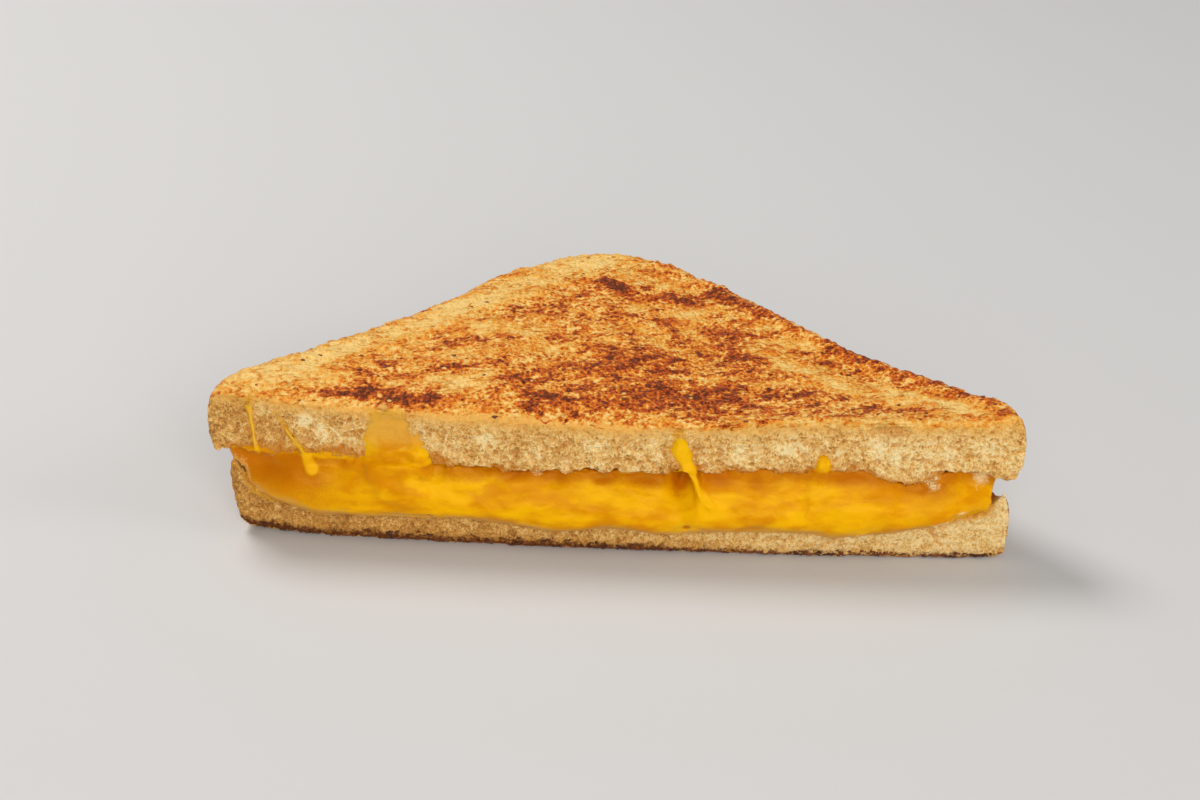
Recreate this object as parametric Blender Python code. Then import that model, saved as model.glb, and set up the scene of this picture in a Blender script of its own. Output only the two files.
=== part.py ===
# Half of a grilled cheese sandwich, cut corner to corner and lying flat. Two pan-fried slices of
# white loaf hold a thick layer of melted cheese, which bellies out of the cut face. The long cut
# face looks along -Y, the rounded corner opposite it points along +Y, and Z is up.
import math

import bmesh
import bpy
from mathutils import Vector, noise

# The square slice and the half that the diagonal cut leaves, in metres.
LOAF_SIDE = 0.120
CORNER_RADIUS = 0.018
APEX_RADIUS = 0.026
CRUST_WAIST = 0.0012
SLICE_END = 0.077
CUT_BOW = 0.0034
CUT_BOW_MIDDLE = 0.012
CUT_BOW_HALF_RUN = 0.092
CUT_BOW_DEPTH = 0.045

# Heights above the underside, as (place along the cut, height). The knife left the cut sagging.
CUT_TOP = ((-0.074, 0.0284), (-0.050, 0.0270), (-0.025, 0.0263), (0.0, 0.0257), (0.015, 0.0265),
           (0.030, 0.0280), (0.042, 0.0289), (0.076, 0.0284))
CUT_CEILING = ((-0.074, 0.0181), (-0.050, 0.0173), (-0.020, 0.0167), (0.002, 0.0169),
               (0.012, 0.0180), (0.028, 0.0188), (0.046, 0.0191), (0.076, 0.0184))
CUT_FLOOR = ((-0.076, 0.0084), (-0.040, 0.0070), (0.045, 0.0068), (0.060, 0.0084), (0.074, 0.0100))
CRUST_TOP = ((-0.078, 0.0302), (-0.056, 0.0293), (-0.041, 0.0288), (-0.026, 0.0298),
             (-0.006, 0.0282), (0.022, 0.0272), (0.048, 0.0257), (0.064, 0.0278), (0.078, 0.0302))
APEX_LIP = 0.0009
APEX_LIP_SPAN = (-0.018, 0.002)
APEX_LIP_RISE = 0.010
APEX_LIP_STEP = 0.0026
APEX_LIP_REACH = 0.0085
CHEESE_CEILING = 0.0165
CHEESE_FLOOR = 0.0070
CUT_BLEND = 0.0045
GAP = 0.0003

# The crust: a rounded shoulder above, a tighter heel below, and a lip that bends over the cheese.
SHOULDER = 0.0040
SHOULDER_TUCK = 0.0010
HEEL = 0.0022
HEEL_TUCK = 0.0006
SEAM_TUCK = 0.0016
CRUST_BAND = 0.0062
CRUST_REACH = 0.0062
CRUST_LIFT = 0.0050
CORNER_LIFT = 0.0036
CORNER_LIFT_FROM = 0.056
CORNER_LIFT_RUN = 0.014
CRUST_DROP = 0.0016
CRUST_DROP_RUN = 0.020
LIFTED_END = 0.0006
LIFTED_END_FROM = 0.062
LIFTED_END_RUN = 0.012

# The toasted top: a low crown, a trough inside the right crust, and pan ripples.
CROWN = 0.0007
TROUGH = 0.0013
TROUGH_FROM_CRUST = 0.0095
TROUGH_WIDTH = 0.0045
TROUGH_FROM = 0.002
TROUGH_RUN = 0.016
TROUGH_FADE_AT_CUT = 0.008
RIPPLES = ((0.00042, 0.0090, 0.0055), (0.00025, 0.0050, 0.0045))
CRUMB_RELIEF = 0.00055
CRUMB_CLUMP = 0.0038
SCALLOP = 0.0006
SCALLOP_LENGTH = 0.004

# The lower slice is squeezed in at its ends, so the upper one overhangs it.
LEFT_OVERHANG = 0.0030
LEFT_OVERHANG_MORE = 0.0030
RIGHT_OVERHANG = 0.0018
OVERHANG_RUN = 0.030
OVERHANG_HEIGHT = 0.0160

# The cheese at the cut: a belly, a brow set back under the bread, and drips over the lower crumb.
BELLY = 0.0026
BELLY_SAG = 0.62
BELLY_LUMPS = 0.25
BELLY_LUMP_LENGTH = 0.012
LIP_THICKNESS = 0.0008
BROW_SHARE = 0.25
LIP_SHARE = 0.45
ROOT_SHARE = 0.70
LIP_HEIGHT = ((-0.076, 0.0090), (-0.068, 0.0068), (-0.050, 0.0054), (0.050, 0.0052),
              (0.060, 0.0068), (0.072, 0.0094))
DRIPS = ((-0.058, 0.0050, 0.0012), (-0.030, 0.0030, -0.0008), (-0.011, 0.0080, 0.0012),
         (0.011, 0.0070, 0.0011), (0.042, 0.0030, 0.0012))
BACK_SWELL = 0.0005
BACK_SWELL_FROM_CUT = 0.010
HOLLOW_AT = 0.0130
HOLLOW_WIDTH = 0.0028
HOLLOW_DEPTH = 0.0026
SHREDS_AT = 0.0550
SHREDS_WIDTH = 0.0046
SHREDS_DROP = 0.0034

# How finely each solid is cut up: cells along the cut, in the crust band and up the faces.
CELLS_ALONG = 54
CELLS_IN_BAND = 3
DEPTHS = (0.0, 0.028, 0.065, 0.13, 0.22, 0.32, 0.42, 0.52, 0.62, 0.72, 0.82, 0.91, 1.0)
SLICE_LEVELS = (0.0, 0.12, 0.35, 0.65, 0.88, 1.0)
CHEESE_LEVELS = (0.0, 0.14, 0.32, 0.54, 0.78, 1.0)
BAND_EDGE_ALONG = 0.90
BAND_EDGE_DEEP = 0.86
CHEESE_INSET_CELLS = 2
FACE_ROW = -3.0
LIP_ROW = -2.0
ROOT_ROW = -1.0

TOAST = (0.60, 0.26, 0.075, 1.0)
UNDERSIDE = (0.40, 0.16, 0.045, 1.0)
CHEESE = (0.80, 0.36, 0.012, 1.0)


def smooth(amount):
    held = min(max(amount, 0.0), 1.0)
    return held * held * (3.0 - 2.0 * held)


def blend(low, high, amount):
    return low + (high - low) * amount


def bell(place, middle, width):
    return math.exp(-((place - middle) / width) ** 2)


def profile(heights, place):
    """A smooth line through the named heights, level beyond its ends."""
    if place <= heights[0][0]:
        return heights[0][1]
    for (near, low), (far, high) in zip(heights, heights[1:]):
        if place <= far:
            return blend(low, high, smooth((place - near) / (far - near)))
    return heights[-1][1]


def crust_point(along, inset):
    """A point of the crust, from -1 at the left end over the apex at 0 to 1 at the right end."""
    half = (LOAF_SIDE - 2.0 * inset) / math.sqrt(2.0)
    corner = CORNER_RADIUS - inset
    apex = APEX_RADIUS - inset
    arc_end = Vector((apex / math.sqrt(2.0), half - apex / math.sqrt(2.0)))
    side_end = Vector((half - corner / math.sqrt(2.0), corner / math.sqrt(2.0)))
    arc = apex * math.pi / 4.0
    side = (side_end - arc_end).length
    run = abs(along) * (arc + side)
    if run < arc:
        turn = run / apex
        point = Vector((apex * math.sin(turn), half - apex * math.sqrt(2.0) + apex * math.cos(turn)))
    else:
        share = (run - arc) / side
        point = arc_end.lerp(side_end, share)
        point -= Vector((1.0, 1.0)) * CRUST_WAIST / math.sqrt(2.0) * math.sin(math.pi * share) ** 2
    return Vector((math.copysign(point.x, along), point.y))


def end_point(side, deep, inset):
    """A point of the rounded loaf corner at one end of the cut, from 0 at the cut to 1."""
    corner = CORNER_RADIUS - inset
    middle = (LOAF_SIDE - 2.0 * inset) / math.sqrt(2.0) - corner * math.sqrt(2.0)
    turn = deep * math.pi / 4.0
    return Vector((side * (middle + corner * math.cos(turn)), corner * math.sin(turn)))


def patch(along, deep, inset):
    """The half slice as a patch between the straight cut, the two ends and the crust."""
    share = (along + 1.0) / 2.0
    cut = end_point(-1.0, 0.0, inset).lerp(end_point(1.0, 0.0, inset), share)
    chord = end_point(-1.0, 1.0, inset).lerp(end_point(1.0, 1.0, inset), share)
    ends = end_point(-1.0, deep, inset).lerp(end_point(1.0, deep, inset), share)
    return cut.lerp(crust_point(along, inset), deep) + ends - cut.lerp(chord, deep)


def plan(along, deep, edge):
    """Place and inset in plan. Rings of the lattice run along the crust, the last at the edge."""
    across = (abs(along) - BAND_EDGE_ALONG) / (1.0 - BAND_EDGE_ALONG)
    back = (deep - BAND_EDGE_DEEP) / (1.0 - BAND_EDGE_DEEP)
    ring = max(across, back, 0.0)
    inset = blend(CRUST_BAND, edge, ring)
    reach_along = blend(BAND_EDGE_ALONG, 1.0, ring)
    reach_deep = blend(BAND_EDGE_DEEP, 1.0, ring)
    point = patch(along / reach_along, deep / reach_deep, inset)
    return point.x, point.y, inset


def crust_nearness(inset):
    return smooth(1.0 - inset / CRUST_REACH)


def shoulder_drop(inset, radius):
    across = max(radius - inset, 0.0)
    return radius - math.sqrt(radius ** 2 - across ** 2)


def toast_top(x, y, inset):
    """The pan-fried upper surface, from the sagging cut to the raised crust."""
    inward = y / (y + inset)
    height = blend(profile(CUT_TOP, x), profile(CRUST_TOP, x), inward)
    height += CROWN * 4.0 * inward * (1.0 - inward)
    lip_start, lip_end = APEX_LIP_SPAN
    on_lip = smooth((x - lip_start) / APEX_LIP_RISE)
    on_lip *= 1.0 - smooth((x - lip_end) / APEX_LIP_STEP)
    height += APEX_LIP * on_lip * bell(inset, 0.0, APEX_LIP_REACH) * inward
    in_trough = bell(inset, TROUGH_FROM_CRUST, TROUGH_WIDTH) * smooth((x - TROUGH_FROM) / TROUGH_RUN)
    height -= TROUGH * in_trough * smooth(y / TROUGH_FADE_AT_CUT)
    for ripple, length, depth in RIPPLES:
        height += ripple * noise.noise(Vector((x / length, y / depth, 1.7)))
    return height - shoulder_drop(inset, SHOULDER)


def ceiling(x, y, inset):
    """The crumb side of the upper slice, where the cheese meets it."""
    at_cut = profile(CUT_CEILING, x) - SHREDS_DROP * bell(x, SHREDS_AT, SHREDS_WIDTH)
    at_cut += SCALLOP * noise.noise(Vector((x / SCALLOP_LENGTH, 2.2, 9.4)))
    height = blend(at_cut, CHEESE_CEILING, min(y / CUT_BLEND, 1.0))
    away_from_left = smooth((x + SLICE_END) / CRUST_DROP_RUN)
    return height - CRUST_DROP * away_from_left * crust_nearness(inset)


def floor(x, y, inset):
    """The crumb side of the lower slice. Its crust stands up, most of all at the left end."""
    height = blend(profile(CUT_FLOOR, x), CHEESE_FLOOR, min(y / CUT_BLEND, 1.0))
    lift = CRUST_LIFT + CORNER_LIFT * smooth((-x - CORNER_LIFT_FROM) / CORNER_LIFT_RUN)
    return height + lift * crust_nearness(inset)


def underside(x, y, inset):
    """The pan-fried lower surface, flat but for the heel of the crust and its left end."""
    lifted = LIFTED_END * smooth((-x - LIFTED_END_FROM) / LIFTED_END_RUN)
    return shoulder_drop(inset, HEEL) + lifted


def settle(point, squeeze):
    """Bow the cut face out, and squeeze the ends in by a share that falls from floor to ceiling."""
    from_middle = min(abs(point.x - CUT_BOW_MIDDLE) / CUT_BOW_HALF_RUN, 1.0)
    bow = CUT_BOW * math.cos(from_middle * math.pi / 2.0) * (1.0 - smooth(point.y / CUT_BOW_DEPTH))
    more = LEFT_OVERHANG_MORE * max(1.0 - point.z / OVERHANG_HEIGHT, 0.0)
    left = smooth((-point.x - SLICE_END + OVERHANG_RUN) / OVERHANG_RUN)
    right = smooth((point.x - SLICE_END + OVERHANG_RUN) / OVERHANG_RUN)
    shift = squeeze * ((LEFT_OVERHANG + more) * left - RIGHT_OVERHANG * right)
    return point + Vector((shift, -bow, 0.0))


def spread(first, last, cells):
    return [blend(first, last, step / cells) for step in range(cells + 1)]


def along_stations():
    band = spread(BAND_EDGE_ALONG, 1.0, CELLS_IN_BAND)[1:]
    middle = spread(-BAND_EDGE_ALONG, BAND_EDGE_ALONG, CELLS_ALONG)
    return [-place for place in reversed(band)] + middle + band


def deep_stations():
    inner = [share * BAND_EDGE_DEEP for share in DEPTHS]
    return inner + spread(BAND_EDGE_DEEP, 1.0, CELLS_IN_BAND)[1:]


def lattice_block(name, stations, place):
    """A cube cut into a lattice at the stations of its three directions, then shaped by place."""
    mesh = bpy.data.meshes.new(name)
    shape = bmesh.new()
    bmesh.ops.create_cube(shape, size=1.0)
    lows = Vector([line[0] for line in stations])
    highs = Vector([line[-1] for line in stations])
    for vertex in shape.verts:
        vertex.co = Vector([blend(lows[axis], highs[axis], vertex.co[axis] + 0.5) for axis in range(3)])
    for axis, line in enumerate(stations):
        normal = Vector([float(axis == other) for other in range(3)])
        for station in line[1:-1]:
            whole = shape.verts[:] + shape.edges[:] + shape.faces[:]
            bmesh.ops.bisect_plane(shape, geom=whole, dist=1e-7, plane_co=normal * station,
                                   plane_no=normal)
    for vertex in shape.verts:
        vertex.co = place(*vertex.co)
    shape.to_mesh(mesh)
    shape.free()
    return bpy.data.objects.new(name, mesh)


def slice_block(name, low, high, low_tuck, high_tuck, squeeze):
    """A slice of bread between two height functions, with a bulging crust and a crumb face."""

    def place(along, deep, level):
        bulge = abs(2.0 * level - 1.0) ** 4
        tuck = low_tuck if level < 0.5 else high_tuck
        x, y, _ = plan(along, deep, tuck * bulge)
        bottom = low(*plan(along, deep, low_tuck))
        top = high(*plan(along, deep, high_tuck))
        z = blend(bottom, top, level)
        if deep < 1e-6:
            rough = noise.noise(Vector((x / CRUMB_CLUMP, z / CRUMB_CLUMP, 4.0)))
            y += CRUMB_RELIEF * (0.5 + 0.5 * rough) * smooth(4.0 * level * (1.0 - level))
        return settle(Vector((x, y, z)), squeeze)

    return lattice_block(name, (along_stations(), deep_stations(), SLICE_LEVELS), place)


def lip_height(x):
    height = profile(LIP_HEIGHT, x)
    for middle, width, drop in DRIPS:
        height -= drop * bell(x, middle, width)
    return height


def cheese_front(x, setback, level):
    """How far the cheese stands out of the cut at a level from its lip to its brow."""
    swell = math.sin(math.pi * level ** BELLY_SAG)
    lumps = 1.0 + BELLY_LUMPS * noise.noise(Vector((x / BELLY_LUMP_LENGTH, level * 1.5, 3.3)))
    out = blend(LIP_THICKNESS, -setback, smooth(level)) + BELLY * swell * lumps
    return out - HOLLOW_DEPTH * bell(x, HOLLOW_AT, HOLLOW_WIDTH) * smooth((level - 0.25) / 0.4)


def cheese_place(along, deep, level):
    """The cheese layer. Three rows before the cut shape its face, the back of its lip, its root."""
    if deep >= 0.0:
        x, y, inset = plan(along, deep, 0.0)
        low = floor(x, y, inset) + GAP
        high = ceiling(x, y, inset) - GAP
        swell = BACK_SWELL * math.sin(math.pi * level ** 2) * smooth(y / BACK_SWELL_FROM_CUT)
        outward = Vector((x, y)).normalized() * swell
        place = Vector((x + outward.x, y + outward.y, blend(low, high, level)))
        return settle(place, 1.0 - level ** 3)
    x, _, inset = plan(along, 0.0, 0.0)
    _, row, _ = plan(along, DEPTHS[2] * BAND_EDGE_DEEP, 0.0)
    lip = min(lip_height(x), floor(x, 0.0, inset) - 2.0 * GAP)
    if deep == FACE_ROW:
        y = -GAP - cheese_front(x, BROW_SHARE * row, level)
        z = blend(lip, ceiling(x, max(y, 0.0), inset) - 2.0 * GAP, level)
    elif deep == LIP_ROW:
        y = blend(-1.3 * GAP, LIP_SHARE * row, level ** 3)
        z = blend(lip + GAP, ceiling(x, LIP_SHARE * row, inset) - GAP, level)
    else:
        y = blend(-GAP, ROOT_SHARE * row, math.sqrt(level))
        z = blend(floor(x, 0.0, inset) + GAP, ceiling(x, ROOT_SHARE * row, inset) - GAP, level)
    return settle(Vector((x, y, z)), 1.0 - level ** 3)


def cheese_block(name):
    inset = CHEESE_INSET_CELLS
    along = along_stations()[inset:-inset]
    deep = [FACE_ROW, LIP_ROW, ROOT_ROW] + deep_stations()[2:-inset]
    return lattice_block(name, (along, deep, CHEESE_LEVELS), cheese_place)


def strap(name, cells, left, right, low, high, back, front):
    """A film of cheese that clings to the upper crumb, its borders given as functions."""

    def place(across, inward, up):
        x = blend(left(up), right(up), across)
        rounded = 1.0 - abs(2.0 * across - 1.0) ** 3
        y = -back(up) - front(up) * (0.25 + 0.75 * rounded) * (1.0 - inward)
        z = blend(low, high(across), up)
        return settle(Vector((x, y, z)), 0.0)

    stations = (spread(0.0, 1.0, cells), [0.0, 1.0], spread(0.0, 1.0, 10))
    return lattice_block(name, stations, place)


def curtain():
    """The wide smear left of the middle, thin at its ragged top and thick at its root."""
    return strap("curtain", 8,
                 left=lambda up: -0.0512 + 0.0006 * math.sin(9.0 * up),
                 right=lambda up: blend(-0.0335, -0.0384, smooth(up * 1.3)),
                 low=0.0100,
                 high=lambda across: 0.0248 + 0.0007 * math.sin(11.0 * across),
                 back=lambda up: 1.2 * GAP,
                 front=lambda up: blend(0.0014, 0.0005, smooth(up * 1.6)))


def strand():
    """The narrow smear right of the middle, which draws down into a strand over the hollow."""
    return strap("strand", 4,
                 left=lambda up: blend(0.0152, 0.0098, smooth(up * 1.5 - 0.5)),
                 right=lambda up: blend(0.0176, 0.0146, smooth(up * 1.2)),
                 low=0.0088,
                 high=lambda across: 0.0243 + 0.0006 * math.sin(3.0 * across),
                 back=lambda up: blend(0.0014, 1.2 * GAP, smooth(up * 2.0)),
                 front=lambda up: blend(0.0019, 0.0007, smooth(up * 1.6)))


def join_solid(body, piece):
    """Weld a piece onto a body and remove the piece."""
    bpy.context.scene.collection.objects.link(piece)
    union = body.modifiers.new("weld", "BOOLEAN")
    union.operation = "UNION"
    union.solver = "EXACT"
    union.object = piece
    bpy.context.view_layer.update()
    depsgraph = bpy.context.evaluated_depsgraph_get()
    welded = bpy.data.meshes.new_from_object(body.evaluated_get(depsgraph))
    body.modifiers.clear()
    old = body.data
    body.data = welded
    bpy.data.meshes.remove(old)
    bpy.data.objects.remove(piece)


def give_material(solid, colour, roughness):
    material = bpy.data.materials.new(solid.name)
    material.use_nodes = True
    surface = material.node_tree.nodes["Principled BSDF"]
    surface.inputs["Base Color"].default_value = colour
    surface.inputs["Roughness"].default_value = roughness
    surface.inputs["Metallic"].default_value = 0.0
    solid.data.materials.clear()
    solid.data.materials.append(material)


def stand_at_origin(solids):
    """Move the meshes so that the middle of their footprint stands on the origin."""
    corners = [vertex.co for solid in solids for vertex in solid.data.vertices]
    middle = Vector([(min(c[axis] for c in corners) + max(c[axis] for c in corners)) / 2.0
                     for axis in range(3)])
    middle.z = min(corner.z for corner in corners)
    for solid in solids:
        for vertex in solid.data.vertices:
            vertex.co -= middle


def clear_scene():
    for old in list(bpy.data.objects):
        bpy.data.objects.remove(old)


def build_sandwich():
    sandwich = bpy.data.collections.new("grilled_cheese_half")
    bpy.context.scene.collection.children.link(sandwich)
    top_slice = slice_block("top_slice", ceiling, toast_top, SEAM_TUCK, SHOULDER_TUCK, 0.0)
    bottom_slice = slice_block("bottom_slice", underside, floor, HEEL_TUCK, SEAM_TUCK, 1.0)
    cheese = cheese_block("cheese")
    solids = (top_slice, cheese, bottom_slice)
    for solid in solids:
        sandwich.objects.link(solid)
    for film in (curtain(), strand()):
        join_solid(cheese, film)
    stand_at_origin(solids)
    give_material(top_slice, TOAST, 0.55)
    give_material(cheese, CHEESE, 0.32)
    give_material(bottom_slice, UNDERSIDE, 0.60)


clear_scene()
build_sandwich()
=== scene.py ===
import math

import bpy
import numpy as np
from mathutils import Matrix, Vector, kdtree
from mathutils.bvhtree import BVHTree


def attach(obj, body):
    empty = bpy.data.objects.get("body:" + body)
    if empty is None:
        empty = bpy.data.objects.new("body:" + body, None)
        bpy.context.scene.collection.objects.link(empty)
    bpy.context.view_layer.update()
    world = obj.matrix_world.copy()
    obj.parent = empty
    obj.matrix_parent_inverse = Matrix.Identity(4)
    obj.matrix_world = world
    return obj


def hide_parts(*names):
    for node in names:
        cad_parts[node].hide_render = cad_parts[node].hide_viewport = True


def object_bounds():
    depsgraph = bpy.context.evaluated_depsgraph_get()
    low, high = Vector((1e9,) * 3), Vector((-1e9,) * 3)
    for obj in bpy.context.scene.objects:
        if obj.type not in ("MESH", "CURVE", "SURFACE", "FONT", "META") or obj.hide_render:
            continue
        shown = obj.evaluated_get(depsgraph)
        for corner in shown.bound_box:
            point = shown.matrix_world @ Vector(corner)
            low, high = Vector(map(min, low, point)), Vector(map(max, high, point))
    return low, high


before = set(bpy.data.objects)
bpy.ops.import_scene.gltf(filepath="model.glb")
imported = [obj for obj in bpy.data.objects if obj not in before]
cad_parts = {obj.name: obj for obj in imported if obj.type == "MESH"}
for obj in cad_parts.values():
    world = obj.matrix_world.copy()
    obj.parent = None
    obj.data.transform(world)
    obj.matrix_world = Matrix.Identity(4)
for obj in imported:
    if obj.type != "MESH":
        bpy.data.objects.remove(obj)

cad_low, cad_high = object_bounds()
MM = 0.001


# The upper slice of white loaf, buttered, fried on its upper face and cut corner to corner with a
# knife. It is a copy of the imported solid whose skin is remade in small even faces, and the open
# crumb of the cut and the browned, grainy top are then worked into that skin.
TOP_GRAIN = 0.45 * MM
TOP_SOFTENING = 5
HIDDEN_SHARE = 0.03
SIDE_SHARE = 0.45
SEEN_BAND = 16.0 * MM
CUT_REACH = 20.0 * MM
CUT_FACING = 0.55
LEVEL_FACING = 0.6


def select_only(piece):
    bpy.ops.object.select_all(action="DESELECT")
    piece.select_set(True)
    bpy.context.view_layer.objects.active = piece


def apply_modifier(piece, kind, **settings):
    """Adds a modifier with its settings and makes it part of the mesh."""
    select_only(piece)
    bpy.ops.object.modifier_add(type=kind)
    modifier = piece.modifiers[-1]
    for name, value in settings.items():
        setattr(modifier, name, value)
    bpy.ops.object.modifier_apply(modifier=modifier.name)


def skin_anew(node, name, grain, softening):
    """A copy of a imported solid, its loose triangles joined, rounded and reskinned in even faces."""
    piece = bpy.data.objects.new(name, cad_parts[node].data.copy())
    bpy.context.scene.collection.objects.link(piece)
    piece.data.materials.clear()
    select_only(piece)
    bpy.context.tool_settings.mesh_select_mode = (False, True, False)
    bpy.ops.object.mode_set(mode="EDIT")
    bpy.ops.mesh.select_all(action="SELECT")
    bpy.ops.mesh.remove_doubles(threshold=0.000001)
    bpy.ops.mesh.tris_convert_to_quads(face_threshold=math.radians(40), shape_threshold=math.radians(60))
    bpy.ops.mesh.select_all(action="DESELECT")
    bpy.ops.mesh.edges_select_sharp(sharpness=math.radians(48))
    bpy.ops.transform.edge_crease(value=1.0)
    bpy.ops.object.mode_set(mode="OBJECT")
    apply_modifier(piece, "SUBSURF", levels=2, render_levels=2)
    apply_modifier(piece, "REMESH", mode="VOXEL", voxel_size=grain)
    apply_modifier(piece, "SMOOTH", factor=0.5, iterations=softening)
    return piece


def rows_of(items, what):
    """A place or a direction of each point or face of a mesh, one row each."""
    flat = np.empty(len(items) * 3)
    items.foreach_get(what, flat)
    return flat.reshape(-1, 3)


def face_facts(piece):
    """Middles and directions of all faces."""
    return rows_of(piece.data.polygons, "center"), rows_of(piece.data.polygons, "normal")


def points_of(piece):
    return rows_of(piece.data.vertices, "co")


def directions_of(piece):
    return rows_of(piece.data.vertices, "normal")


def edit_faces(piece, chosen):
    """Opens edit mode with only the chosen faces selected."""
    mesh = piece.data
    mesh.vertices.foreach_set("select", np.zeros(len(mesh.vertices), dtype=bool))
    mesh.edges.foreach_set("select", np.zeros(len(mesh.edges), dtype=bool))
    mesh.polygons.foreach_set("select", chosen)
    select_only(piece)
    bpy.context.tool_settings.mesh_select_mode = (False, False, True)
    bpy.ops.object.mode_set(mode="EDIT")


def thin_faces(piece, chosen, share):
    edit_faces(piece, chosen)
    bpy.ops.mesh.decimate(ratio=share)
    bpy.ops.object.mode_set(mode="OBJECT")


def refine_cut(piece):
    """Splits each face of the cut in four, for the fine forms of its crumb."""
    middles, directions = face_facts(piece)
    edit_faces(piece, (directions[:, 1] < -CUT_FACING) & (middles[:, 1] < cad_low[1] + CUT_REACH))
    bpy.ops.mesh.subdivide(number_cuts=1, smoothness=0.0)
    bpy.ops.object.mode_set(mode="OBJECT")


def place_points(piece, points):
    """Moves the points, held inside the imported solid's own box."""
    held = np.clip(points, np.array(cad_low), np.array(cad_high))
    piece.data.vertices.foreach_set("co", held.ravel())
    piece.data.update()


def mark(piece, **layers):
    """Keeps numbers on the mesh, one for each point in each layer, which the finish reads."""
    for name, amounts in layers.items():
        layer = piece.data.attributes.new(name, "FLOAT", "POINT")
        layer.data.foreach_set("value", np.asarray(amounts, dtype=np.float32))


def ease(amount, low, high):
    """0 below low, 1 above high, with a soft turn between them."""
    share = np.clip((amount - low) / (high - low), 0.0, 1.0)
    return share * share * (3.0 - 2.0 * share)


leans = np.random.default_rng(11).normal(size=(1024, 3))
leans /= np.linalg.norm(leans, axis=1)[:, None]
HILL_SWING = 1.7


def hills(points, size, seed, stretch=(1.0, 1.0, 1.0)):
    """Soft random hills of about the given size, between -1 and 1."""
    place = points / (size * np.array(stretch)) + seed * 7.37
    cell = np.floor(place).astype(np.int64)
    part = place - cell
    turn = part ** 3 * (part * (part * 6.0 - 15.0) + 10.0)
    total = np.zeros(len(points))
    for corner in np.ndindex(2, 2, 2):
        at = cell + corner
        key = at[:, 0] * 73856093 ^ at[:, 1] * 19349663 ^ at[:, 2] * 83492791 ^ seed * 2654435
        key = (key ^ (key >> 13)) * 1274126177
        lean = leans[(key >> 7) & 1023]
        weight = np.prod(np.where(corner, turn, 1.0 - turn), axis=1)
        total += weight * np.einsum("ij,ij->i", lean, part - corner)
    return total * HILL_SWING


def layered(points, layers):
    """Hills of several sizes together. A layer is its size in millimetres, its height, its seed
    and, where it has one, its stretch."""
    return sum(height * hills(points, size * MM, seed, *stretch) for size, height, seed, *stretch in layers)


def tree_of(places):
    """A search tree over places, each under its own row's number."""
    tree = kdtree.KDTree(len(places))
    for index, place in enumerate(places):
        tree.insert(place, index)
    tree.balance()
    return tree


def blobs(points, places):
    """How strongly each point lies in any of the named round patches: x, y, half length, half width,
    turn in degrees and strength, in millimetres on the plan."""
    total = np.zeros(len(points))
    for x, y, long, wide, turn, strength in places:
        away = points[:, :2] / MM - (x, y)
        c, s = math.cos(math.radians(turn)), math.sin(math.radians(turn))
        along = (away[:, 0] * c + away[:, 1] * s) / long
        across = (away[:, 1] * c - away[:, 0] * s) / wide
        total += strength * np.exp(-(along ** 2 + across ** 2))
    return total


toast = skin_anew("top_slice", "toast_upper", TOP_GRAIN, TOP_SOFTENING)
# The underside behind the cut and the two crust sides are plain, so they keep fewer faces.
middles, directions = face_facts(toast)
hidden = (directions[:, 2] < -LEVEL_FACING) & (middles[:, 1] > cad_low[1] + SEEN_BAND)
thin_faces(toast, hidden, HIDDEN_SHARE)
middles, directions = face_facts(toast)
thin_faces(toast, (directions[:, 1] > 0.1) & (np.abs(directions[:, 2]) < 0.5), SIDE_SHARE)
refine_cut(toast)

# Masks over the slice: its grilled skin and the open crumb of its cut, each fading out where the
# surface turns away from facing up or facing forwards.
SKIN_TURN = (0.30, 0.75)
ROUNDED_SKIN_TURN = (0.40, 0.85)
CUT_TURN = (0.35, 0.70)


def cut_share(points, directions):
    return ease(-directions[:, 1], *CUT_TURN) * (points[:, 1] < cad_low[1] + CUT_REACH)


points = points_of(toast)
directions = directions_of(toast)
grilled = ease(directions[:, 2], *SKIN_TURN)
crumb = cut_share(points, directions) * (1.0 - grilled)

# The lower rim of the cut crumb is torn: teeth of it hang over the cheese, with bays between them.
TEETH = ((3.4, 0.95, 31), (1.5, 0.55, 32), (0.8, 0.30, 33))
TEETH_HANG = 0.25 * MM
TEETH_RISE = 2.6 * MM
TEETH_DEPTH = 3.0 * MM
RIM_STEP = 0.6 * MM


def along_cut(points, chosen, axis, measure):
    """The measure, such as the lowest, of the chosen points' places on one axis, taken in short steps
    along the cut and read back at every point."""
    steps = np.clip(np.round((points[:, 0] - cad_low[0]) / RIM_STEP).astype(int), 0, None)
    line = np.full(steps.max() + 1, np.nan)
    for step in np.unique(steps[chosen]):
        line[step] = measure(points[chosen & (steps == step), axis])
    known = np.flatnonzero(~np.isnan(line))
    return np.interp(np.arange(len(line)), known, line[known])[steps]


over_rim = points[:, 2] - along_cut(points, crumb > 0.5, 2, np.min)
behind = points[:, 1] - along_cut(points, crumb > 0.5, 1, np.median)
torn = ease(TEETH_RISE - over_rim, 0.0, TEETH_RISE) * ease(TEETH_DEPTH - behind, 0.0, TEETH_DEPTH)
flat = points * (1.0, 0.3, 0.0)
points[:, 2] -= torn * (layered(flat, TEETH) * MM + TEETH_HANG)

# The upper edge of the cut is soft and uneven, where the knife pressed the fried skin down.
EDGE_ROUND = 1.6 * MM
EDGE_UNEVEN = ((5.0, 0.55, 12),)
EDGE_BAND = (1.5 * MM, 4.0 * MM)


def round_edge(points, behind, below, radius):
    """Rounds the corner of the cut, with both depths measured inward from its two faces."""
    back = np.clip(radius - np.clip(behind, 0.0, None), 0.0, None)
    down = np.clip(radius - np.clip(below, 0.0, None), 0.0, None)
    reach = np.maximum(np.hypot(back, down), 0.000001)
    pull = np.clip(1.0 - radius / reach, 0.0, 1.0)
    points[:, 1] += pull * back
    points[:, 2] -= pull * down


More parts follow.
